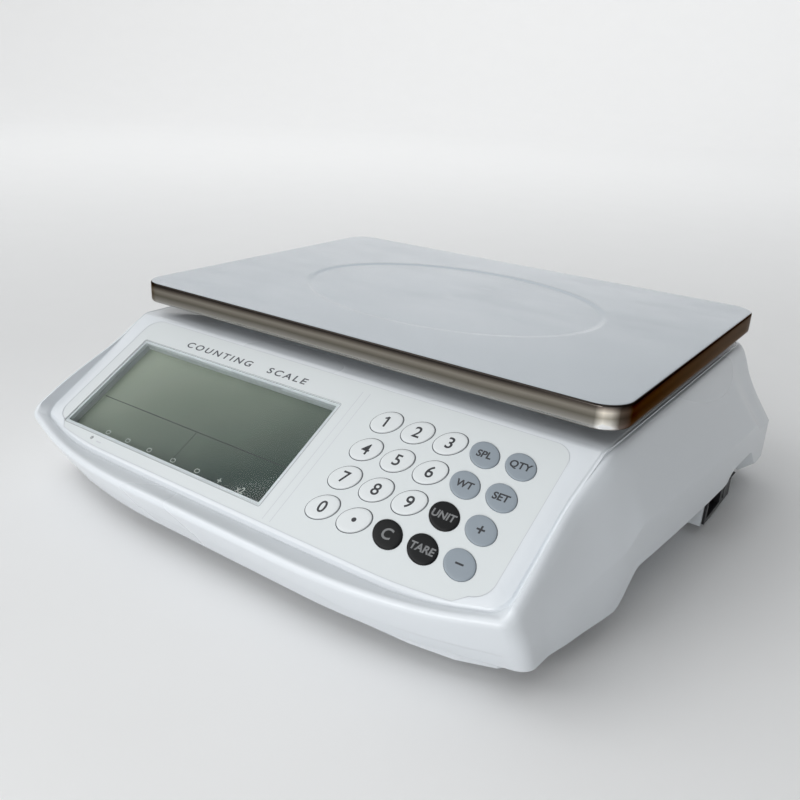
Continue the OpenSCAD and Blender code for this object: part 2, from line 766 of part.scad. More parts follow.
upper_housing();
bottom_case();
overlay_film();
display_window();
lcd_frame();
lcd_glass();
lcd_backlight();
display_board();
status_led();
keypad_board();
key_switches();
main_board();
board_components();
battery();
battery_clamp();
battery_cover();
mains_transformer();
power_inlet();
switch_housing();
power_rocker();
bubble_level();
load_cell();
load_cell_spacer();
load_cell_bolts();
load_cell_cable();
overload_stops();
housing_screws();
foot_inserts();
pan_support();
support_bolts();
support_pads();
weighing_pan();
key(0, 0, "white");  // key_1
key(1, 0, "white");  // key_2
key(2, 0, "white");  // key_3
key(3, 0, "slategray");  // key_sample
key(4, 0, "slategray");  // key_quantity
key(0, 1, "white");  // key_4
key(1, 1, "white");  // key_5
key(2, 1, "white");  // key_6
key(3, 1, "slategray");  // key_unit_weight
key(4, 1, "slategray");  // key_preset
key(0, 2, "white");  // key_7
key(1, 2, "white");  // key_8
key(2, 2, "white");  // key_9
key(3, 2, "black");  // key_unit
key(4, 2, "slategray");  // key_memory_add
key(0, 3, "white");  // key_0
key(1, 3, "white");  // key_dot
key(2, 3, "black");  // key_clear
key(3, 3, "black");  // key_tare
key(4, 3, "slategray");  // key_memory_clear
foot_pad(front_foot, -1);  // foot_pad_front_left
foot_pad(front_foot, 1);  // foot_pad_front_right
foot_pad(rear_foot, -1);  // foot_pad_rear_left
foot_pad(rear_foot, 1);  // foot_pad_rear_right
foot_screw(front_foot, -1);  // foot_screw_front_left
foot_screw(front_foot, 1);  // foot_screw_front_right
foot_screw(rear_foot, -1);  // foot_screw_rear_left
foot_screw(rear_foot, 1);  // foot_screw_rear_right
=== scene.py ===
import math

import bmesh
import bpy
from mathutils import Matrix, Vector
from mathutils.geometry import delaunay_2d_cdt


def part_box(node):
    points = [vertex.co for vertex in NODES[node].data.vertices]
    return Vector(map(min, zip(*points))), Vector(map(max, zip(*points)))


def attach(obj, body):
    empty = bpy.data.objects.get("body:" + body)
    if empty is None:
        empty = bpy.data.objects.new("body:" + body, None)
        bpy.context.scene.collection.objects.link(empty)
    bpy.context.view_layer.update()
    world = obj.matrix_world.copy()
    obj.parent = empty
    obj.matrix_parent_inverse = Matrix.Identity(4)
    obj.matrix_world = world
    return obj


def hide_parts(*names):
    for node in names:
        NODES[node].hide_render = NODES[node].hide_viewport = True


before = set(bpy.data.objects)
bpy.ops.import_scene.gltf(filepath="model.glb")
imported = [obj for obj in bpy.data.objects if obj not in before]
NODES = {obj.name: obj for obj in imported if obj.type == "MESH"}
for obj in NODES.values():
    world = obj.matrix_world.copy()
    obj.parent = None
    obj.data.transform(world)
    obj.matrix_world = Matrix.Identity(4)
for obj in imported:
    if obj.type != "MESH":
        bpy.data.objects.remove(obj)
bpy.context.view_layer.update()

MM = 0.001

# ------------------------------------------------ driving sizes, in mm
# As in the CAD, but for both flares and the keys' rise, which keep the pieces just inside its box
PAN_W, PAN_D, PAN_RIM, PAN_CORNER, PAN_Y = 300.0, 210.0, 11.5, 14.0, 47.0
TOP_Z, DECK_Z, SKIRT_Z, ARCH_Z, LIP_Z = 102.0, 83.0, 12.0, 27.0, 38.5
FRONT, REAR = -155.0, 151.0
CONSOLE_HALF, DECK_HALF, WALL, CREASE = 149.5, 152.0, 2.6, 0.4
FLARE, FRONT_FLARE, FLARE_START, FLARE_RUN = 18.9, 1.5, -125.0, 255.0
REAR_FLARE, REAR_TUCK = 3.85, 4.0
TILT = math.radians(29.42)
PANEL_Y, PANEL_Z = -121.0, 48.3
FRONT_R, REAR_R, UNDERCUT, LIP_RISE, TUCK = 8.0, 16.0, 17.0, 4.6, 8.0
BORDER_INSET, BORDER_R, BORDER_FRONT = 7.5, 8.0, -139.3
FILM_HALF, FILM_POCKET, FILM_TOP = 134.0, 0.6, -0.1
WIN_L, WIN_R, WIN_F, WIN_B = -125.8, 18.3, -12.0, 52.2
WINDOW_LEDGE, LCD_DEPTH = 1.5, 5.6
KEY_U0, KEY_V0, PITCH_U, PITCH_V = 47.2, 50.6, 17.43, 17.13
KEY_A, KEY_B, KEY_RISE, KEY_SLANT = 7.9, 6.1, 0.6, 33.0
EMBOSS_A, EMBOSS_B, EMBOSS_DROP = 94.9, 68.7, 0.8
BREAK_Y = PANEL_Y + (DECK_Z - PANEL_Z) / math.tan(TILT)
RECESS_HALF, RECESS_DEEP, RECESS_STEP_X = 139.0, 0.55, 67.0

# ------------------------------------------------ sizes of the visual model only, in mm
# Rounding of the housing's shoulder, and how much broader and deeper it is at the sides
SHOULDER, SIDE_ACROSS, SIDE_DOWN = 4.0, 1.8, 8.0
# The plateau starts this far inside its border; the groove round it is shallower at the sides
PLATEAU_INSET, SIDE_GROOVE = 0.25, 0.55
# Gap round the film, width and depth of its pocket's chamfer, gap under it, gap round a key
FILM_GAP, FILM_CHAMFER, POCKET_LIP, FILM_SEAT, KEY_GAP = 0.25, 0.05, 0.16, 0.02, 0.15
FILM_CORNER, FILM_BACK, FILM_FRONT, FILM_SIDE_FRONT, FILM_SWEEP = 9.0, 68.0, -18.6, -11.2, 7.4
# Opening over the load cell and the four holes of the overload stops
CELL_OPENING = (76.0, 52.0, 2.0)
STOP_R, STOP_X, STOP_Y = 2.6, 90.0, 70.0
KEY_DEPTH, DOT_R, LEGEND_LIFT = 2.9, 1.15, 0.01
PAN_EDGE, PAN_SHEET, PAN_FLAT = 1.3, 1.0, 1.2
# The step into the pan's oval starts this far inside it and is this wide
EMBOSS_START, EMBOSS_STEP, OVAL_COUNT = 3.4, 4.0, 128
# Points nearer than this are joined
JOIN_GAP = 0.003

# The keypad, row by row: body name, legend and colour group of each key
KEYPAD = (
    (("key_1", "1", "white"), ("key_2", "2", "white"), ("key_3", "3", "white"),
     ("key_sample", "SPL", "grey"), ("key_quantity", "QTY", "grey")),
    (("key_4", "4", "white"), ("key_5", "5", "white"), ("key_6", "6", "white"),
     ("key_unit_weight", "WT", "grey"), ("key_preset", "SET", "grey")),
    (("key_7", "7", "white"), ("key_8", "8", "white"), ("key_9", "9", "white"),
     ("key_unit", "UNIT", "black"), ("key_memory_add", "+", "grey")),
    (("key_0", "0", "white"), ("key_dot", "•", "white"), ("key_clear", "C", "black"),
     ("key_tare", "TARE", "black"), ("key_memory_clear", "−", "grey")),
)


def smoothstep(t):
    t = min(1.0, max(0.0, t))
    return t * t * (3 - 2 * t)


def soft_max(a, b, k):
    return (a + b + math.sqrt((a - b) ** 2 + k * k)) / 2


def soft_min(a, b, k):
    return (a + b - math.sqrt((a - b) ** 2 + k * k)) / 2


def on_panel(u, v, w=0.0):
    """A point of the sloping console: u across, v up the slope, w above it."""
    return (u, PANEL_Y + v * math.cos(TILT) - w * math.sin(TILT),
            PANEL_Z + v * math.sin(TILT) + w * math.cos(TILT))


PANEL_AXES = Matrix(((1, 0, 0),
                     (0, math.cos(TILT), -math.sin(TILT)),
                     (0, math.sin(TILT), math.cos(TILT))))

# ------------------------------------------------ materials


class Nodes:
    """Short hand for building a shader tree."""

    def __init__(self, name):
        self.mat = bpy.data.materials.new(name)
        self.mat.use_nodes = True
        self.tree = self.mat.node_tree
        self.bsdf = self.tree.nodes["Principled BSDF"]
        self.coord = self.add("ShaderNodeTexCoord")

    def add(self, kind, **values):
        node = self.tree.nodes.new(kind)
        for key, value in values.items():
            if hasattr(node, key):
                setattr(node, key, value)
            else:
                node.inputs[key].default_value = value
        return node

    def link(self, a, b):
        self.tree.links.new(a, b)

    def noise(self, scale, detail=3.0, stretch=None):
        tex = self.add("ShaderNodeTexNoise", Scale=scale, Detail=detail)
        if stretch:
            mapping = self.add("ShaderNodeMapping")
            mapping.inputs["Scale"].default_value = stretch
            self.link(self.coord.outputs["Object"], mapping.inputs["Vector"])
            self.link(mapping.outputs["Vector"], tex.inputs["Vector"])
        else:
            self.link(self.coord.outputs["Object"], tex.inputs["Vector"])
        return tex.outputs["Fac"]

    def split(self, which):
        """X, Y and Z of one of the texture coordinates"""
        node = self.add("ShaderNodeSeparateXYZ")
        self.link(self.coord.outputs[which], node.inputs["Vector"])
        return node.outputs

    def scaled(self, value, factor, plus=None):
        """value times factor, plus another value if there is one"""
        node = self.add("ShaderNodeMath", operation="MULTIPLY" if plus is None else "MULTIPLY_ADD")
        self.link(value, node.inputs[0])
        node.inputs[1].default_value = factor
        if plus is not None:
            self.link(plus, node.inputs[2])
        return node.outputs[0]

    def ramp(self, factor, stops):
        """factor turned into a colour by stops, given as (position, colour) in order"""
        node = self.add("ShaderNodeValToRGB")
        self.link(factor, node.inputs["Fac"])
        elements = node.color_ramp.elements
        while len(elements) < len(stops):
            elements.new(0.5)
        for element, (position, colour) in zip(elements, stops):
            element.position = position
            element.color = (*colour, 1.0)
        return node.outputs["Color"]

    def spread(self, value, low, high, start=0.3, stop=0.7):
        """value, from start to stop, mapped to low to high"""
        node = self.add("ShaderNodeMapRange")
        node.inputs["From Min"].default_value = start
        node.inputs["From Max"].default_value = stop
        node.inputs["To Min"].default_value = low
        node.inputs["To Max"].default_value = high
        self.link(value, node.inputs["Value"])
        return node.outputs["Result"]

    def mix(self, factor, a, b, blend="MIX"):
        """a and b, each a colour or a socket, mixed by a number or a socket"""
        node = self.add("ShaderNodeMix", data_type="RGBA", blend_type=blend)
        if isinstance(factor, float):
            node.inputs["Factor"].default_value = factor
        else:
            self.link(factor, node.inputs["Factor"])
        for socket, value in (("A", a), ("B", b)):
            target = [s for s in node.inputs if s.name == socket and s.type == "RGBA"][0]
            if isinstance(value, tuple):
                target.default_value = (*value, 1.0)
            else:
                self.link(value, target)
        return [s for s in node.outputs if s.type == "RGBA"][0]

    def bump(self, height, strength, distance):
        node = self.add("ShaderNodeBump", Strength=strength, Distance=distance)
        self.link(height, node.inputs["Height"])
        self.link(node.outputs["Normal"], self.bsdf.inputs["Normal"])

    def set(self, **values):
        """Sets the shader's own sockets; an underscore stands for a space"""
        for key, value in values.items():
            self.bsdf.inputs[key.replace("_", " ")].default_value = value


GRAIN_HEIGHT = 0.0001


def shades(colour, vary):
    """A colour made a little darker, and a little lighter."""
    return tuple(c * (1 - vary) for c in colour), tuple(min(1.0, c * (1 + vary)) for c in colour)


def plastic(name, colour, rough=0.3, vary=0.03, grain=900.0, grain_depth=0.06, coat=0.0, spec=0.5,
            mottle=(14.0, 4.0), smear=(55.0, 3.0)):
    """Moulded plastic: faint colour mottling, a fine moulded grain and uneven gloss.

    mottle and smear are the scale and detail of the noise under the colour and the gloss."""
    n = Nodes(name)
    n.set(Specular_IOR_Level=spec, Coat_Weight=coat, Coat_Roughness=0.08)
    tone = n.mix(n.spread(n.noise(*mottle), 0.0, 1.0), *shades(colour, vary))
    n.link(tone, n.bsdf.inputs["Base Color"])
    n.link(n.spread(n.noise(*smear), rough * 0.88, rough * 1.14), n.bsdf.inputs["Roughness"])
    if grain_depth:
        n.bump(n.noise(grain, 2.0), grain_depth, GRAIN_HEIGHT)
    return n.mat


def metal(name, colour, rough=0.3, vary=0.06, brush=(1.0, 1.0, 1.0), brush_depth=0.05):
    """Metal with uneven polish; brush stretches its grain along one axis."""
    n = Nodes(name)
    n.set(Metallic=1.0)
    tone = n.mix(n.spread(n.noise(9.0, 4.0), 0.0, 1.0), *shades(colour, vary))
    n.link(tone, n.bsdf.inputs["Base Color"])
    grain = n.noise(240.0, 3.0, stretch=brush)
    n.link(n.spread(grain, rough * 0.8, rough * 1.25), n.bsdf.inputs["Roughness"])
    n.bump(grain, brush_depth, GRAIN_HEIGHT)
    return n.mat


def rubber(name, colour):
    return plastic(name, colour, rough=0.75, vary=0.12, grain=1400.0, grain_depth=0.25, spec=0.3)


SMOOTH = {"grain_depth": 0.0, "mottle": (5.0, 0.0), "smear": (12.0, 0.0)}
housing_mat = plastic("housing_white_abs", (0.70, 0.735, 0.77), rough=0.30, vary=0.008, coat=0.25,
                      grain_depth=0.0, mottle=(4.0, 0.0), smear=(9.0, 0.0))
case_mat = plastic("case_abs", (0.66, 0.69, 0.72), rough=0.55, vary=0.03, grain=700.0,
                   grain_depth=0.2)
film_mat = plastic("printed_film", (0.66, 0.695, 0.705), rough=0.38, vary=0.008, **SMOOTH)
ink_grey = plastic("ink_grey", (0.36, 0.38, 0.40), rough=0.5, vary=0.05)
ink_pale = plastic("ink_pale", (0.56, 0.58, 0.61), rough=0.5, vary=0.05)
ink_dim = plastic("ink_dim", (0.17, 0.175, 0.18), rough=0.5, vary=0.05)
ink_mark = plastic("ink_mark", (0.44, 0.48, 0.45), rough=0.5, vary=0.05)
ink_dark = plastic("ink_dark", (0.02, 0.021, 0.026), rough=0.5, vary=0.1)
ink_title = plastic("ink_title", (0.07, 0.075, 0.09), rough=0.5, vary=0.1)
# Painted shade: the white frame in the display's recess is made grey for the shade that falls
# there
inner_white_painted_shade = plastic("inner_white_abs", (0.50, 0.53, 0.55), rough=0.45, vary=0.02)
key_mats = {
    "white": plastic("key_white", (0.68, 0.71, 0.72), rough=0.34, vary=0.01, **SMOOTH),
    "grey": plastic("key_grey", (0.25, 0.29, 0.33), rough=0.34, vary=0.05, grain_depth=0.02),
    "black": plastic("key_black", (0.004, 0.0045, 0.005), rough=0.26, vary=0.3, grain_depth=0.02,
                     spec=0.18),
}
black_nylon = plastic("black_nylon", (0.012, 0.012, 0.014), rough=0.42, vary=0.3, grain_depth=0.2)
foot_nylon = plastic("foot_nylon", (0.03, 0.03, 0.033), rough=0.5, vary=0.2, grain_depth=0.2)
board_mat = plastic("solder_mask", (0.02, 0.16, 0.07), rough=0.35, vary=0.25, grain=380.0,
                    grain_depth=0.3, coat=0.3)
component_mat = plastic("epoxy_packages", (0.02, 0.02, 0.022), rough=0.5, vary=0.2)
battery_mat = plastic("battery_abs", (0.05, 0.05, 0.055), rough=0.5, vary=0.15, grain_depth=0.2)
support_mat = plastic("support_plastic", (0.42, 0.45, 0.48), rough=0.55, vary=0.05,
                      grain_depth=0.3)
vial_mat = plastic("level_fluid", (0.45, 0.68, 0.16), rough=0.08, vary=0.1, coat=0.8)
led_mat = plastic("led_lens", (0.02, 0.012, 0.012), rough=0.12, vary=0.2, coat=0.6)
light_guide = plastic("light_guide", (0.75, 0.78, 0.74), rough=0.5)
floor_mat = plastic("floor_paper", (0.86, 0.86, 0.86), rough=0.8, vary=0.004, grain=300.0,
                    spec=0.2)
foot_rubber = rubber("foot_rubber", (0.02, 0.02, 0.02))
cable_mat = rubber("cable_sheath", (0.16, 0.16, 0.17))
steel_bolt = metal("plated_steel", (0.62, 0.63, 0.65), rough=0.35)
aluminium = metal("milled_aluminium", (0.75, 0.76, 0.77), rough=0.36, brush=(1.0, 14.0, 14.0),
                  brush_depth=0.12)
brass = metal("turned_brass", (0.70, 0.50, 0.22), rough=0.3, brush=(1.0, 1.0, 16.0))
lamination = metal("laminations", (0.16, 0.16, 0.17), rough=0.5, brush=(1.0, 1.0, 30.0),
                   brush_depth=0.4)


def window_material():
    """Clear acrylic over the display, with the faintest smears."""
    n = Nodes("window_acrylic")
    n.set(Base_Color=(0.95, 0.97, 0.96, 1.0), Transmission_Weight=1.0, IOR=1.12,
          Specular_IOR_Level=0.4)
    n.link(n.spread(n.noise(30.0, 4.0), 0.015, 0.06), n.bsdf.inputs["Roughness"])
    return n.mat


def lcd_material():
    """Grey-green display glass with a painted reflection, paler to the upper left and darker to
    the lower right.
    """
    n = Nodes("lcd_glass")
    n.set(Specular_IOR_Level=0.35)
    low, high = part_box("lcd_glass")
    place = n.split("Object")
    across = n.spread(place["X"], 0.0, 1.0, low.x, high.x)
    down = n.spread(place["Z"], 1.0, 0.0, low.z, high.z)
    # Painted reflection: the glass grows paler to the upper left and darker to the lower right
    slope = n.scaled(across, 0.6, n.scaled(down, 0.45))
    clouded = n.scaled(n.noise(18.0, 2.0), 0.18, slope)
    tone = n.mix(n.spread(clouded, 0.0, 1.0, 0.14, 0.92),
                 (0.345, 0.385, 0.315), (0.018, 0.04, 0.032))
    n.link(tone, n.bsdf.inputs["Base Color"])
    n.link(n.spread(n.noise(2200.0, 2.0), 0.28, 0.4), n.bsdf.inputs["Roughness"])
    return n.mat


def pan_top_material():
    """Satin stainless sheet: fine grain along X, cloudy polish, a few faint wipe marks."""
    n = Nodes("pan_satin")
    n.set(Metallic=1.0, Anisotropic=0.35)
    tone = n.mix(n.spread(n.noise(7.0, 5.0), 0.0, 1.0), (0.545, 0.585, 0.625), (0.60, 0.64, 0.68))
    n.link(tone, n.bsdf.inputs["Base Color"])
    grain = n.noise(420.0, 3.0, stretch=(0.12, 6.0, 6.0))
    wiped = n.scaled(grain, 0.35, n.noise(16.0, 4.0, stretch=(1.0, 2.6, 1.0)))
    n.link(n.spread(wiped, 0.17, 0.28, 0.4, 0.95), n.bsdf.inputs["Roughness"])
    n.bump(grain, 0.006, GRAIN_HEIGHT)
    return n.mat


def pan_rim_material():
    """Polished rim: darker stripes of painted reflection run round it under the top edge."""
    n = Nodes("pan_rim_polished")
    n.set(Metallic=1.0, Specular_Tint=(0.42, 0.37, 0.33, 1.0))
    height = n.spread(n.split("Object")["Z"], 0.0, 1.0, (TOP_Z - PAN_RIM) * MM, TOP_Z * MM)
    drift = n.scaled(n.noise(11.0, 2.0, stretch=(1.0, 1.0, 3.0)), 0.16, height)
    # Painted reflection: a dark line at the top edge, then lighter and darker stripes below it
    painted_reflection_bands = n.ramp(drift, (
        (0.06, (0.12, 0.11, 0.10)), (0.16, (0.42, 0.41, 0.39)), (0.28, (0.27, 0.26, 0.235)),
        (0.52, (0.13, 0.12, 0.098)), (0.74, (0.25, 0.23, 0.195)), (0.88, (0.11, 0.095, 0.08)),
        (0.98, (0.03, 0.026, 0.023))))
    # Painted light by facing: the front keeps its colour, the right front corner gets a painted
    # highlight and the sides a darker painted reflection
    sideways = n.spread(n.split("Normal")["X"], 0.0, 1.0, -1.0, 1.0)
    painted_facing_light = n.ramp(sideways, (
        (0.0, (0.5, 0.46, 0.42)), (0.12, (0.9, 0.88, 0.86)), (0.45, (1.0, 1.0, 1.0)),
        (0.58, (1.1, 1.1, 1.1)), (0.70, (4.2, 4.2, 4.3)), (0.80, (3.3, 3.3, 3.4)),
        (0.90, (0.5, 0.42, 0.38)), (1.0, (0.30, 0.19, 0.155))))
    n.link(n.mix(1.0, painted_reflection_bands, painted_facing_light, blend="MULTIPLY"), n.bsdf.inputs["Base Color"])
    polish = n.noise(40.0, 3.0, stretch=(1.0, 1.0, 6.0))
    n.link(n.spread(polish, 0.10, 0.22), n.bsdf.inputs["Roughness"])
    n.bump(polish, 0.04, 0.0005)
    return n.mat


window_mat = window_material()
lcd_mat = lcd_material()
pan_top = pan_top_material()
pan_rim = pan_rim_material()

# ------------------------------------------------ mesh helpers


def close_up(mesh):
    """Joins points that lie on one another and turns every face outward."""
    shape = bmesh.new()
    shape.from_mesh(mesh)
    bmesh.ops.remove_doubles(shape, verts=shape.verts, dist=JOIN_GAP * MM)
    bmesh.ops.recalc_face_normals(shape, faces=shape.faces)
    shape.to_mesh(mesh)
    shape.free()


def place_in_scene(name, data):
    obj = bpy.data.objects.new(name, data)
    bpy.context.scene.collection.objects.link(obj)
    return obj


def piece(name, build, materials, body, smooth=None, replaces=(), solid=False):
    """Makes an object from a Build, gives its faces their materials, rides it on its body and
    hides the parts it replaces.

    smooth is the angle in degrees above which an edge stays sharp; None leaves all faces flat.
    solid closes the mesh."""
    mesh = bpy.data.meshes.new(name)
    mesh.from_pydata([tuple(c * MM for c in v) for v in build.verts], [], build.faces)
    mesh.validate()
    for material in materials:
        mesh.materials.append(material)
    for polygon, index in zip(mesh.polygons, build.slots):
        polygon.material_index = index
    if solid:
        close_up(mesh)
    if smooth:
        mesh.shade_smooth()
        mesh.set_sharp_from_angle(angle=math.radians(smooth))
    mesh.update()
    obj = place_in_scene(name, mesh)
    if body:
        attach(obj, body)
    if replaces:
        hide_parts(*replaces)
    return obj


class Build:
    """Collects points, in mm, and faces with their material slots for one piece."""

    def __init__(self):
        self.verts = []
        self.faces = []
        self.slots = []

    def ring(self, points):
        """Adds points and returns their numbers"""
        start = len(self.verts)
        self.verts.extend(points)
        return list(range(start, start + len(points)))

    def face(self, ids, slot=0):
        self.faces.append(tuple(ids))
        self.slots.append(slot)

    def bridge(self, low, high, slot=0, closed=True, flip=False):
        """Joins two rings of as many points by a band of quads"""
        count = len(low)
        for i in range(count if closed else count - 1):
            j = (i + 1) % count
            quad = (low[i], low[j], high[j], high[i])
            self.face(quad[::-1] if flip else quad, slot)

    def stack(self, rings, slot=0, flip=False):
        for low, high in zip(rings, rings[1:]):
            self.bridge(low, high, slot, flip=flip)

    def cap(self, outer, holes, place, slot=0, flip=False, lines=()):
        """Fills a flat loop with holes, given as 2-D points.

        place lifts a point to 3-D, and lines are creases that the triangles keep to."""
        points, edges = [], []
        for loop in (outer, *holes):
            start = len(points)
            points.extend(loop)
            edges.extend((start + i, start + (i + 1) % len(loop)) for i in range(len(loop)))
        for line in lines:
            start = len(points)
            points.extend(line)
            edges.extend((start + i, start + i + 1) for i in range(len(line) - 1))
        made, _, triangles, *_ = delaunay_2d_cdt([Vector(p) for p in points], edges, [], 0, 1e-6)
        ids = self.ring([place(p.x, p.y) for p in made])
        for tri in triangles:
            a, b, c = (made[k] for k in tri)
            middle = ((a.x + b.x + c.x) / 3, (a.y + b.y + c.y) / 3)
            if not inside(middle, outer) or any(inside(middle, hole) for hole in holes):
                continue
            order = [ids[k] for k in tri]
            self.face(order[::-1] if flip else order, slot)


def inside(p, loop):
    """Whether a 2-D point lies inside a loop."""
    hit = False
    x, y = p
    for i, (x1, y1) in enumerate(loop):
        x2, y2 = loop[i - 1]
        if (y1 > y) != (y2 > y) and x < (x2 - x1) * (y - y1) / (y2 - y1) + x1:
            hit = not hit
    return hit


def steps(low, high, count):
    """count evenly spaced values from low to high."""
    return [low + (high - low) * i / (count - 1) for i in range(count)]


def angles(low, high, count):
    """Evenly spaced angles, from degrees to radians."""
    return [math.radians(a) for a in steps(low, high, count)]


def panel_loop(loop, w):
    return [on_panel(u, v, w) for u, v in loop]


def level_loop(loop, z):
    return [(x, y, z) for x, y in loop]


def arc_points(cx, cy, r, turns):
    return [(cx + r * math.cos(a), cy + r * math.sin(a)) for a in turns]


def oval(a, b, u=0.0, v=0.0, slant=0.0, count=48):
    """Anticlockwise oval with half axes a and b, centred at (u, v) and turned by slant degrees."""
    s = math.radians(slant)
    out = []
    for i in range(count):
        t = 2 * math.pi * i / count
        x, y = a * math.cos(t), b * math.sin(t)
        out.append((u + x * math.cos(s) - y * math.sin(s), v + x * math.sin(s) + y * math.cos(s)))
    return out


def rounded_rect(w, d, r, u=0.0, v=0.0, arc=7, edge=1):
    """Anticlockwise outline; edge splits each straight side into that many parts."""
    out = []
    corners = ((w / 2 - r, -d / 2 + r, -90), (w / 2 - r, d / 2 - r, 0),
               (-w / 2 + r, d / 2 - r, 90), (-w / 2 + r, -d / 2 + r, 180))

    def side(start, end):
        (x1, y1), (x2, y2) = start, end
        return [(x1 + (x2 - x1) * k / edge, y1 + (y2 - y1) * k / edge) for k in range(1, edge)]

    for cx, cy, start in corners:
        corner = arc_points(u + cx, v + cy, r, angles(start, start + 90, arc))
        if out:
            out.extend(side(out[-1], corner[0]))
        out.extend(corner)
    return out + side(out[-1], out[0])


def key_place(column, row):
    """Place and slant of a key: the white ones lean one way, the others the other way."""
    slant = KEY_SLANT if KEYPAD[row][column][2] == "white" else -KEY_SLANT
    return KEY_U0 + column * PITCH_U, KEY_V0 - row * PITCH_V, slant


def key_outline(column, row, grow):
    return oval(KEY_A + grow, KEY_B + grow, *key_place(column, row))


def key_holes():
    return [key_outline(column, row, KEY_GAP) for row, keys in enumerate(KEYPAD)
            for column in range(len(keys))]


def window_outline(grow, r, arc):
    return rounded_rect(WIN_R - WIN_L + grow, WIN_B - WIN_F + grow, r,
                        (WIN_L + WIN_R) / 2, (WIN_F + WIN_B) / 2, arc=arc)


# ------------------------------------------------ housing


def panel_height(y):
    return PANEL_Z + (y - PANEL_Y) * math.tan(TILT)


def top_height(y):
    """Height of the plateau: the sloping console, softly broken into the flat deck."""
    if abs(y - BREAK_Y) < 4:
        return soft_min(panel_height(y), DECK_Z, 0.5)
    return min(panel_height(y), DECK_Z)


def under_height(y):
    """Height of the plateau's underside."""
    return min(panel_height(y) - WALL / math.cos(TILT), DECK_Z - WALL)


def shoulder_height(y):
    """Height of the ridge round the housing."""
    raised = panel_height(y) + LIP_RISE * smoothstep((-65 - y) / 60)
    return soft_min(soft_max(raised, LIP_Z, 3), DECK_Z - 0.5, 3)


def front_y(x):
    return FRONT + max(0.0, abs(x) - 50) ** 2 / 550


def half_width(y):
    return CONSOLE_HALF + (DECK_HALF - CONSOLE_HALF) * smoothstep((y + 90) / 35)


def border_front_y(x):
    return BORDER_FRONT + (x / 150) ** 2 + max(0.0, x - 90) ** 2 / 300


FRONT_CX = CONSOLE_HALF - FRONT_R
FRONT_CY = front_y(FRONT_CX) + FRONT_R
REAR_CX, REAR_CY = DECK_HALF - REAR_R, REAR - REAR_R
BORDER_CX = CONSOLE_HALF - BORDER_INSET - BORDER_R
BORDER_CY = border_front_y(BORDER_CX) + BORDER_R
FRONT_XS = steps(2.0, 131.0, 34)
CORNER_ANGLES = angles(-72.0, 0.0, 11)
SIDE_YS = steps(-121.0, 131.0, 85)
REAR_ANGLES = angles(0.0, 90.0, 11)
REAR_XS = steps(131.0, 2.0, 27)


def both_halves(right):
    """An outline from its right half, which runs from the front to the rear."""
    return right + [(-x, y) for x, y in reversed(right)]


OUTLINE = both_halves(
    [(x, front_y(x)) for x in FRONT_XS]
    + arc_points(FRONT_CX, FRONT_CY, FRONT_R, CORNER_ANGLES)
    + [(half_width(y), y) for y in SIDE_YS]
    + arc_points(REAR_CX, REAR_CY, REAR_R, REAR_ANGLES)
    + [(x, REAR) for x in REAR_XS])
COUNT = len(OUTLINE)


def border(extra):
    """Outline of the plateau, moved inward by extra, point for point beside OUTLINE."""
    radius = max(0.5, BORDER_R - extra)
    rear = max(0.5, REAR_R - BORDER_INSET - extra)
    return both_halves(
        [(x, border_front_y(x) + extra) for x in FRONT_XS]
        + arc_points(BORDER_CX, BORDER_CY, radius, CORNER_ANGLES)
        + [(half_width(y) - BORDER_INSET - extra, y) for y in SIDE_YS]
        + arc_points(REAR_CX, REAR_CY, rear, REAR_ANGLES)
        + [(x, REAR - BORDER_INSET - extra) for x in REAR_XS])


def outward(i):
    """Outward direction of OUTLINE at point i."""
    (x1, y1), (x2, y2) = OUTLINE[i - 1], OUTLINE[(i + 1) % COUNT]
    length = math.hypot(x2 - x1, y2 - y1)
    return (y2 - y1) / length, (x1 - x2) / length


NORMALS = [outward(i) for i in range(COUNT)]


def flare_share(h):
    """How much of the wall's flare is reached at height share h, 1 being the top."""
    t = min(1.0, (1 - h) / (1 - CREASE))
    return t * t * (1.6 - 0.6 * t)


def side_flare(y):
    """How far the side wall flares out at y, growing from the front to the rear."""
    reached = min(1.0, max(0.0, (y - FLARE_START) / FLARE_RUN))
    return FRONT_FLARE + FLARE * (1 - (1 - reached) ** 1.7)


def bottom_edge(x, y):
    """Height of the wall's lower edge, which arches up along the sides."""
    if abs(x) < CONSOLE_HALF - 1:
        return SKIRT_Z
    return SKIRT_Z + (ARCH_Z - SKIRT_Z) * smoothstep((y + 62) / 20) * smoothstep((122 - y) / 20)


def skirt_recess(x, y, h):
    """How deep the shallow band low on the front skirt lies at x and height share h."""
    if y > FRONT_CY or h > 0.6:
        return 0.0
    upper = 0.30 + 0.10 * smoothstep((RECESS_STEP_X + 4 - x) / 8)
    end = smoothstep((RECESS_HALF - 8 * h - abs(x)) / 1.2)
    return RECESS_DEEP * end * smoothstep((upper - h) / 0.035)


def wall_point(i, h, inset=0.0, recess=True):
    """Point of the outer wall at outline point i and height share h, moved inward by inset."""
    x, y = OUTLINE[i]
    nx, ny = NORMALS[i]
    low, high = bottom_edge(x, y), shoulder_height(y)
    tucked = max(0.0, 1 - h / 0.1)
    off = nx * nx * (side_flare(y) * flare_share(h) - TUCK * tucked * smoothstep((y - 60) / 50))
    if ny > 0:
        off += ny * ny * (REAR_FLARE * flare_share(h) - REAR_TUCK * tucked)
    lean = UNDERCUT * (1 - h) * (1 - smoothstep((y - FRONT_CY) / 50))
    if recess:
        inset += skirt_recess(x, y, h)
    return (x + nx * (off - inset), y + ny * (off - inset) + lean, low + h * (high - low))


def across_plateau(y):
    reach = half_width(y) - BORDER_INSET - 0.5
    return [(-reach, y), (reach, y)]


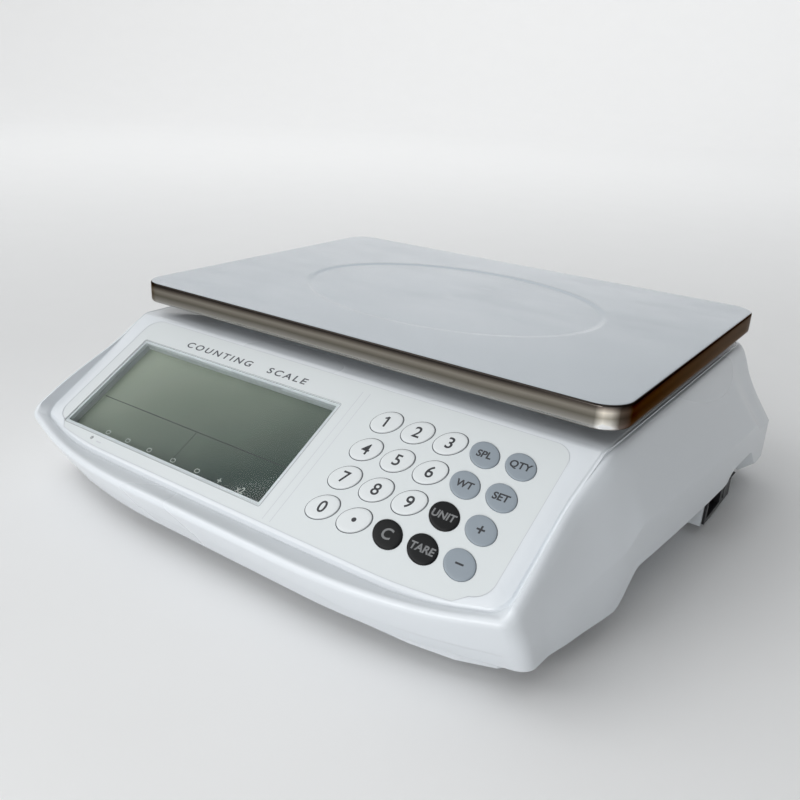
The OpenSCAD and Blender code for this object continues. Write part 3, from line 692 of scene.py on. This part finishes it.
def film_outline(grow):
    """Printed film: straight front edge in the middle, swept back towards rounded corners."""
    side_front, back = FILM_SIDE_FRONT - grow, FILM_BACK + grow
    corner_x = FILM_HALF + grow - FILM_CORNER
    right = [(x, FILM_FRONT - grow + FILM_SWEEP * (max(0.0, x - 84) / 60) ** 2)
             for x in steps(2.0, 122.0, 16)]
    right += arc_points(corner_x, side_front + FILM_CORNER, FILM_CORNER, angles(-78.0, 0.0, 9))
    right += arc_points(corner_x, back - FILM_CORNER, FILM_CORNER, angles(0.0, 90.0, 10))
    return both_halves(right)


def make_housing():
    """Housing: flared walls, shoulders, lip and groove, and the plateau with the film's pocket."""
    b = Build()
    # broad is 0 along the front and the rear and 1 along the sides
    broad = [nx ** 2 * smoothstep((y - FLARE_START) / 50)
             for (nx, _), (_, y) in zip(NORMALS, OUTLINE)]
    across = [SHOULDER + SIDE_ACROSS * k for k in broad]
    down = [SHOULDER + SIDE_DOWN * k for k in broad]
    rings = [b.ring([wall_point(i, h) for i in range(COUNT)])
             for h in steps(0.0, 0.5, 31) + steps(0.52, 0.80, 12)]
    for a in angles(3.0, 90.0, 12):
        points = []
        for i, (x, y) in enumerate(OUTLINE):
            span = shoulder_height(y) - bottom_edge(x, y)
            drop = down[i] * (1 - math.sin(a))
            points.append(wall_point(i, 1 - drop / span, across[i] * (1 - math.cos(a))))
        rings.append(b.ring(points))
    # The lip runs from the ridge in to a soft groove round the plateau
    ridge = [wall_point(i, 1.0, across[i]) for i in range(COUNT)]
    for share, sink in ((0.25, 0.0), (0.5, 0.0), (0.75, 0.05), (0.86, 0.15)):
        points = []
        for (rx, ry, rz), (bx, by) in zip(ridge, border(-1.5)):
            z = rz + (top_height(by) - rz) * share
            points.append((rx + (bx - rx) * share, ry + (by - ry) * share, z - sink))
        rings.append(b.ring(points))
    for out, sink in ((1.5, 0.35), (1.1, 0.85), (0.7, 1.05), (0.3, 0.85), (0.0, 0.3), (-0.12, 0.1),
                      (-PLATEAU_INSET, 0.0)):
        rings.append(b.ring([(x, y, top_height(y) - sink * (1 - SIDE_GROOVE * k))
                             for (x, y), k in zip(border(-out), broad)]))
    b.stack(rings)
    # Inside of the walls
    plateau = border(PLATEAU_INSET)
    inner = [b.ring([wall_point(i, h, WALL, recess=False) for i in range(COUNT)])
             for h in (0.0, 0.1, 0.35, 0.6, 0.85)]
    b.bridge(rings[0], inner[0], flip=True)
    inner.append(b.ring([(x, y, under_height(y)) for x, y in plateau]))
    b.stack(inner, flip=True)
    # Plateau; five creases make the soft break between console and deck
    film = film_outline(FILM_GAP)
    film_flat = [(u, on_panel(u, v)[1]) for u, v in film_outline(FILM_GAP + FILM_CHAMFER)]
    deck_holes = [rounded_rect(*CELL_OPENING, 0.0, PAN_Y)]
    deck_holes += [oval(STOP_R, STOP_R, x, PAN_Y + y, count=20)
                   for x in (-STOP_X, STOP_X) for y in (-STOP_Y, STOP_Y)]
    creases = [across_plateau(BREAK_Y + k) for k in (-1.2, -0.5, 0.0, 0.5, 1.2)]
    b.cap(plateau, [film_flat, *deck_holes], lambda x, y: (x, y, top_height(y)), lines=creases)
    # Pocket for the film, with the window and key openings in its floor
    top = b.ring(panel_loop(film, -POCKET_LIP))
    edge = b.ring([(x, y, top_height(y)) for x, y in film_flat])
    floor = b.ring(panel_loop(film, -FILM_POCKET))
    b.bridge(edge, top, flip=True)
    b.bridge(top, floor, flip=True)
    panel_holes = [window_outline(-2 * WINDOW_LEDGE, 0.6, 4), *key_holes()]
    b.cap(film, panel_holes, lambda u, v: on_panel(u, v, -FILM_POCKET))
    for loop in panel_holes:
        b.stack([b.ring(panel_loop(loop, w)) for w in (-FILM_POCKET, -WALL)], flip=True)
    for loop in deck_holes:
        b.stack([b.ring(level_loop(loop, z)) for z in (DECK_Z, DECK_Z - WALL)], flip=True)
    # Underside of the plateau, with one crease below the break
    below = [[(u, on_panel(u, v, -WALL)[1]) for u, v in loop] for loop in panel_holes]
    bend = BREAK_Y + WALL * (1 / math.cos(TILT) - 1) / math.tan(TILT)
    b.cap(plateau, [*below, *deck_holes], lambda x, y: (x, y, under_height(y)), flip=True,
          lines=[across_plateau(bend)])
    piece("housing", b, [housing_mat], "base", smooth=38.0,
          replaces=("upper_housing",), solid=True)


def make_film():
    """Printed film, with openings for the window and the keys."""
    b = Build()
    outer = film_outline(0.0)
    holes = [window_outline(0.2, 0.4, 3), *key_holes()]
    seat = -FILM_POCKET + FILM_SEAT
    b.cap(outer, holes, lambda u, v: on_panel(u, v, FILM_TOP))
    b.cap(outer, holes, lambda u, v: on_panel(u, v, seat), flip=True)
    for loop in (outer, *holes):
        b.stack([b.ring(panel_loop(loop, w)) for w in (seat, FILM_TOP)])
    piece("film", b, [film_mat], "base", smooth=35.0,
          replaces=("overlay_film",), solid=True)


# ------------------------------------------------ printing, keys and pan
INK_LIFT, INK_THICK = 0.02, 0.02
KEY_LINE_GAP, KEY_LINE = 0.28, 0.34
# Size and boldness of the legends on white keys, and of signs and words on the others
LEGENDS = {"digit": (8.6, 0.11), "sign": (7.4, 0.14), "word": (4.9, 0.14)}
# The typeface's 1 is a plain stroke, so that key gets a flag, drawn from the key's centre
ONE_FLAG, ONE_FLAG_WIDTH = ((-1.75, 1.75), (-0.9, 2.15), (-0.1, 2.95)), 0.85
# Rounding of a key's top, as distance in from its edge and down from its top
KEY_PROFILE = ((0.0, 0.4), (0.05, 0.24), (0.16, 0.12), (0.4, 0.05), (1.3, 0.02), (3.0, 0.01))


def ribbon(name, path, width, material, w=FILM_TOP + INK_LIFT, closed=False, body="base"):
    """A printed line of a given width along a path on the panel."""
    b = Build()
    left, right = [], []
    count = len(path)
    for i, (u, v) in enumerate(path):
        u1, v1 = path[i - 1] if closed or i else path[i]
        u2, v2 = path[(i + 1) % count] if closed or i + 1 < count else path[i]
        length = math.hypot(u2 - u1, v2 - v1) or 1.0
        nu, nv = -(v2 - v1) / length, (u2 - u1) / length
        left.append(on_panel(u + nu * width / 2, v + nv * width / 2, w))
        right.append(on_panel(u - nu * width / 2, v - nv * width / 2, w))
    b.bridge(b.ring(right), b.ring(left), closed=closed)
    piece(name, b, [material], body)


def lettering(name, text, size, place, body, material, bold, spacing=1.0, shear=0.0,
              across=None):
    """Flat printed characters centred at place, which is (u, v, w) on the panel.

    across stretches them to a whole width."""
    curve = bpy.data.curves.new(name + "_outline", "FONT")
    curve.body = text
    curve.size = size * MM
    curve.align_x = "CENTER"
    curve.align_y = "CENTER"
    curve.space_character = spacing
    curve.offset = bold * MM
    curve.extrude = INK_THICK * MM / 2
    curve.shear = shear
    holder = place_in_scene(name + "_holder", curve)
    bpy.context.view_layer.update()
    evaluated = holder.evaluated_get(bpy.context.evaluated_depsgraph_get())
    mesh = bpy.data.meshes.new_from_object(evaluated)
    bpy.data.objects.remove(holder)
    bpy.data.curves.remove(curve)
    xs = [p.co.x for p in mesh.vertices]
    ys = [p.co.y for p in mesh.vertices]
    centre = Vector(((min(xs) + max(xs)) / 2, (min(ys) + max(ys)) / 2, 0.0))
    stretch = across * MM / (max(xs) - min(xs)) if across else 1.0
    origin = Vector(c * MM for c in on_panel(*place))
    for p in mesh.vertices:
        local = p.co - centre
        p.co = PANEL_AXES @ Vector((local.x * stretch, local.y, local.z)) + origin
    mesh.name = name
    mesh.materials.clear()
    mesh.materials.append(material)
    obj = place_in_scene(name, mesh)
    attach(obj, body)


def make_key(body, legend, group, column, row):
    """One key cap with its legend; a white key also has a line printed round it on the film."""
    u, v, _ = key_place(column, row)
    top = FILM_TOP + KEY_RISE
    b = Build()
    loops = [b.ring(panel_loop(key_outline(column, row, 0.0), -KEY_DEPTH))]
    loops += [b.ring(panel_loop(key_outline(column, row, -inset), top - drop))
              for inset, drop in KEY_PROFILE]
    b.stack(loops)
    centre = b.ring([on_panel(u, v, top)])[0]
    last = loops[-1]
    for i, start in enumerate(last):
        b.face((start, last[(i + 1) % len(last)], centre))
    b.face(loops[0][::-1])
    piece(body + "_cap", b, [key_mats[group]], body, smooth=50.0,
          replaces=(body,), solid=True)
    if group == "white":
        ribbon(body + "_outline", key_outline(column, row, KEY_LINE_GAP), KEY_LINE, ink_title,
               closed=True)
    if legend == "•":
        dot = Build()
        dot.face(dot.ring(panel_loop(oval(DOT_R, DOT_R, u, v, count=24), top + 1.5 * LEGEND_LIFT)))
        piece(body + "_legend", dot, [ink_dark], body)
        return
    size, bold = LEGENDS["digit" if group == "white" else "sign" if len(legend) == 1 else "word"]
    shade = ink_dim if group == "black" else ink_dark
    lettering(body + "_legend", legend, size, (u, v, top + LEGEND_LIFT), body, shade, bold)
    if legend == "1":
        ribbon(body + "_flag", [(u + du, v + dv) for du, dv in ONE_FLAG], ONE_FLAG_WIDTH, shade,
               w=top + 2 * LEGEND_LIFT, body=body)


def pan_outline(inset, z):
    loop = rounded_rect(PAN_W - 2 * inset, PAN_D - 2 * inset, PAN_CORNER - inset, 0.0, PAN_Y,
                        arc=13, edge=24)
    return level_loop(loop, z)


def emboss(grow, share=1.0):
    """The oval set into the pan, grown by so much and then scaled."""
    return oval((EMBOSS_A + grow) * share, (EMBOSS_B + grow) * share, 0.0, PAN_Y, count=OVAL_COUNT)


def pan_level(x, y):
    """Height of the pan's top near the edge of the oval."""
    q = math.hypot(x / EMBOSS_A, (y - PAN_Y) / EMBOSS_B)
    distance = (q - 1) * (EMBOSS_A + EMBOSS_B) / 2
    return TOP_Z - EMBOSS_DROP * (1 - smoothstep((distance + EMBOSS_START) / EMBOSS_STEP))


def make_pan():
    """Pressed pan: rounded top edge, polished rim and a shallow oval set into the top."""
    b = Build()
    foot, under = TOP_Z - PAN_RIM, TOP_Z - PAN_SHEET
    # Rim from its inner lower edge up and over, as distance in from the outside and height
    profile = [(1.9, foot + 0.35), (1.5, foot + 0.05), (0.9, foot), (0.35, foot + 0.15),
               (0.05, foot + 0.7), (0.0, foot + 1.6), (0.0, TOP_Z - 7.6), (0.0, TOP_Z - 4.4),
               (0.0, TOP_Z - PAN_EDGE - 0.5)]
    profile += [(PAN_EDGE * (1 - math.cos(a)), TOP_Z - PAN_EDGE * (1 - math.sin(a)))
                for a in angles(0.0, 90.0, 7)]
    loops = [b.ring(pan_outline(inset, z)) for inset, z in profile]
    b.stack(loops[:-2], slot=1)
    b.stack(loops[-3:])
    flat = pan_outline(PAN_EDGE + PAN_FLAT, TOP_Z)
    b.bridge(loops[-1], b.ring(flat))
    b.cap([(x, y) for x, y, _ in flat], [emboss(2.0)], lambda x, y: (x, y, TOP_Z))
    rings = [b.ring([(x, y, pan_level(x, y)) for x, y in emboss(grow)])
             for grow in steps(2.0, -8.0, 17)]
    rings += [b.ring(level_loop(emboss(-8, share), TOP_Z - EMBOSS_DROP))
              for share in (0.7, 0.4, 0.15)]
    b.stack(rings)
    b.face(rings[-1])
    # Inside of the rim and the underside of the sheet
    inner_wall = b.ring(pan_outline(1.9, TOP_Z - 2.2))
    inner_turn = b.ring(pan_outline(2.6, under))
    b.bridge(loops[0], inner_wall, slot=1, flip=True)
    b.bridge(inner_wall, inner_turn, slot=1, flip=True)
    dish = emboss(-1)
    b.cap([(x, y) for x, y, _ in pan_outline(2.6, 0)], [dish], lambda x, y: (x, y, under), slot=1,
          flip=True)
    up = b.ring(level_loop(dish, under))
    down = b.ring(level_loop(emboss(-4), TOP_Z - 1.75))
    b.bridge(up, down, slot=1, flip=True)
    b.face(down[::-1], slot=1)
    piece("pan", b, [pan_top, pan_rim], "pan", smooth=35.0,
          replaces=("weighing_pan",), solid=True)


make_housing()
make_film()
make_pan()
for row, entries in enumerate(KEYPAD):
    for column, (body, legend, group) in enumerate(entries):
        make_key(body, legend, group, column, row)

# ------------------------------------------------ printing on the film and the display
LCD_W, LCD_MARKS_V = -LCD_DEPTH + 0.03, -6.4
ribbon("film_edge_line", film_outline(0.1), 0.28, ink_pale, w=FILM_TOP + 0.03, closed=True)
ribbon("window_line", window_outline(0.9, 0.8, 4), 0.4, ink_grey, closed=True)
for name, u in (("divider_line_left", 24.6), ("divider_line_right", 29.0)):
    ribbon(name, [(u, v) for v in (-17.0, 20.0, 63.0)], 0.35, ink_pale)
lettering("title", "COUNTING   SCALE", 5.4, (-52.0, 58.4, FILM_TOP + INK_LIFT), "base",
          ink_title, 0.09, spacing=1.35, shear=0.12, across=88.0)
ribbon("lcd_line_across", [(-123.0, 12.8), (15.5, 12.8)], 0.45, ink_dark, w=LCD_W)
ribbon("lcd_line_down", [(-48.8, 12.5), (-48.8, -6.0)], 0.4, ink_dark, w=LCD_W)
for index, u in enumerate((-99.0, -83.0, -66.0, -48.0, -30.5)):
    ribbon(f"lcd_mark_{index}", rounded_rect(2.8, 2.0, 0.8, u, LCD_MARKS_V, arc=4), 0.5, ink_mark,
           w=LCD_W, closed=True)
for name, text, size, u in (("lcd_mark_plus", "+", 5.4, -15.0),
                            ("lcd_mark_times", "x2", 4.8, -1.0)):
    lettering(name, text, size, (u, LCD_MARKS_V, LCD_W), "base", ink_mark, 0.08)
ribbon("led_mark", [(-94.2, -15.8), (-90.6, -15.8)], 0.7, ink_pale)

# ------------------------------------------------ carried-over CAD nodes
CARRIED = {
    "bottom_case": case_mat, "battery_cover": case_mat, "display_window": window_mat,
    "lcd_frame": inner_white_painted_shade, "lcd_glass": lcd_mat, "lcd_backlight": light_guide,
    "display_board": board_mat, "status_led": led_mat, "keypad_board": board_mat,
    "key_switches": steel_bolt, "main_board": board_mat, "board_components": component_mat,
    "battery": battery_mat, "battery_clamp": steel_bolt, "mains_transformer": lamination,
    "power_inlet": black_nylon, "switch_housing": black_nylon, "power_rocker": black_nylon,
    "bubble_level": vial_mat, "load_cell": aluminium, "load_cell_spacer": aluminium,
    "load_cell_bolts": steel_bolt, "load_cell_cable": cable_mat, "overload_stops": steel_bolt,
    "housing_screws": steel_bolt, "foot_inserts": brass, "pan_support": support_mat,
    "support_bolts": steel_bolt, "support_pads": foot_rubber,
}
# Width of the small rounding on the edges that show, in mm
BEVELLED = {"bottom_case": 1.0, "power_inlet": 0.4, "switch_housing": 0.3, "power_rocker": 0.4,
            "pan_support": 0.8, "battery_cover": 0.5}
for corner in ("front_left", "front_right", "rear_left", "rear_right"):
    CARRIED["foot_pad_" + corner], BEVELLED["foot_pad_" + corner] = foot_rubber, 0.8
    CARRIED["foot_screw_" + corner], BEVELLED["foot_screw_" + corner] = foot_nylon, 0.5
for name, material in CARRIED.items():
    obj = NODES[name]
    obj.data.materials.clear()
    obj.data.materials.append(material)
    if name in BEVELLED:
        bevel = obj.modifiers.new("soft_edges", "BEVEL")
        bevel.width = BEVELLED[name] * MM
        bevel.segments = 3
        bevel.limit_method = "ANGLE"
        bevel.angle_limit = math.radians(50)
        bevel.use_clamp_overlap = True
        bevel.harden_normals = False

# ------------------------------------------------ floor, light and camera
# A round paper floor: flat out to SWEEP_FLAT, then curving up, given as radius and height in mm
SWEEP_FLAT, SWEEP_CURVE = 2600.0, 1500
SWEEP = [(SWEEP_FLAT, 0.0)]
SWEEP += [(SWEEP_FLAT + SWEEP_CURVE * math.sin(a), SWEEP_CURVE * (1 - math.cos(a)))
          for a in angles(3.0, 84.0, 28)]
sweep = Build()
rounds = [sweep.ring([(r * math.cos(a), r * math.sin(a), z) for a in angles(0.0, 357.5, 144)])
          for r, z in SWEEP]
sweep.face(rounds[0])
sweep.stack(rounds, flip=True)
floor = piece("floor", sweep, [floor_mat], None, smooth=60.0)

# The room is bright on the scale's left and fades out to the right
LIGHT_SIDE = Vector((-0.85, 0.06, 0.50))
ROOM_FADE = {"From Min": -0.55, "From Max": 0.95, "To Min": 0.02, "To Max": 0.86}
world = bpy.data.worlds.new("studio")
bpy.context.scene.world = world
world.use_nodes = True
room, join = world.node_tree.nodes, world.node_tree.links
background = room["Background"]
background.inputs["Color"].default_value = (0.97, 0.99, 1.0, 1.0)
sky = room.new("ShaderNodeTexCoord")
towards = room.new("ShaderNodeVectorMath")
towards.operation = "DOT_PRODUCT"
towards.inputs[1].default_value = LIGHT_SIDE.normalized()
join.new(sky.outputs["Generated"], towards.inputs[0])
fade = room.new("ShaderNodeMapRange")
fade.interpolation_type = "SMOOTHSTEP"
for socket, value in ROOM_FADE.items():
    fade.inputs[socket].default_value = value
join.new(towards.outputs["Value"], fade.inputs["Value"])
join.new(fade.outputs["Result"], background.inputs["Strength"])


def soft_light(name, place, aim, width, height, power, spread=180):
    """Rectangular light at place, aimed at a point, in metres and watts; spread is in degrees."""
    light = bpy.data.lights.new(name, "AREA")
    light.shape = "RECTANGLE"
    light.size, light.size_y = width, height
    light.energy = power
    light.spread = math.radians(spread)
    obj = place_in_scene(name, light)
    obj.location = place
    obj.rotation_euler = (Vector(aim) - Vector(place)).to_track_quat("-Z", "Y").to_euler()


soft_light("key_light", (-1.50, -1.34, 1.95), (0, 0, 0.05), 2.0, 2.0, 22.0)
soft_light("front_fill", (0.10, -0.85, 0.20), (0.08, -0.14, 0.05), 0.6, 0.3, 0.92, spread=100)
soft_light("backdrop_light", (-0.8, 0.7, 3.0), (-2.3, 3.2, 2.2), 3.0, 1.6, 80.0)

# The camera that was fitted to the photograph
CAMERA_PLACE = Vector((0.2524, -0.3630, 0.22575))
LENS, SENSOR = 37.38, 36.0
AZIMUTH, ELEVATION, ROLL = (math.radians(a) for a in (34.746, 21.839, 2.821))
back = Vector((math.sin(AZIMUTH) * math.cos(ELEVATION), -math.cos(AZIMUTH) * math.cos(ELEVATION),
               math.sin(ELEVATION)))
right = Vector((0, 0, 1)).cross(back).normalized()
up = back.cross(right)
turned_right = right * math.cos(ROLL) + up * math.sin(ROLL)
turned_up = -right * math.sin(ROLL) + up * math.cos(ROLL)
camera_data = bpy.data.cameras.new("camera")
camera_data.lens = LENS
camera_data.sensor_width = SENSOR
camera_data.clip_start = 0.01
camera = place_in_scene("camera", camera_data)
axes = Matrix((turned_right, turned_up, back)).transposed()
camera.matrix_world = Matrix.Translation(CAMERA_PLACE) @ axes.to_4x4()
bpy.context.scene.camera = camera
bpy.context.scene.view_settings.view_transform = "Standard"
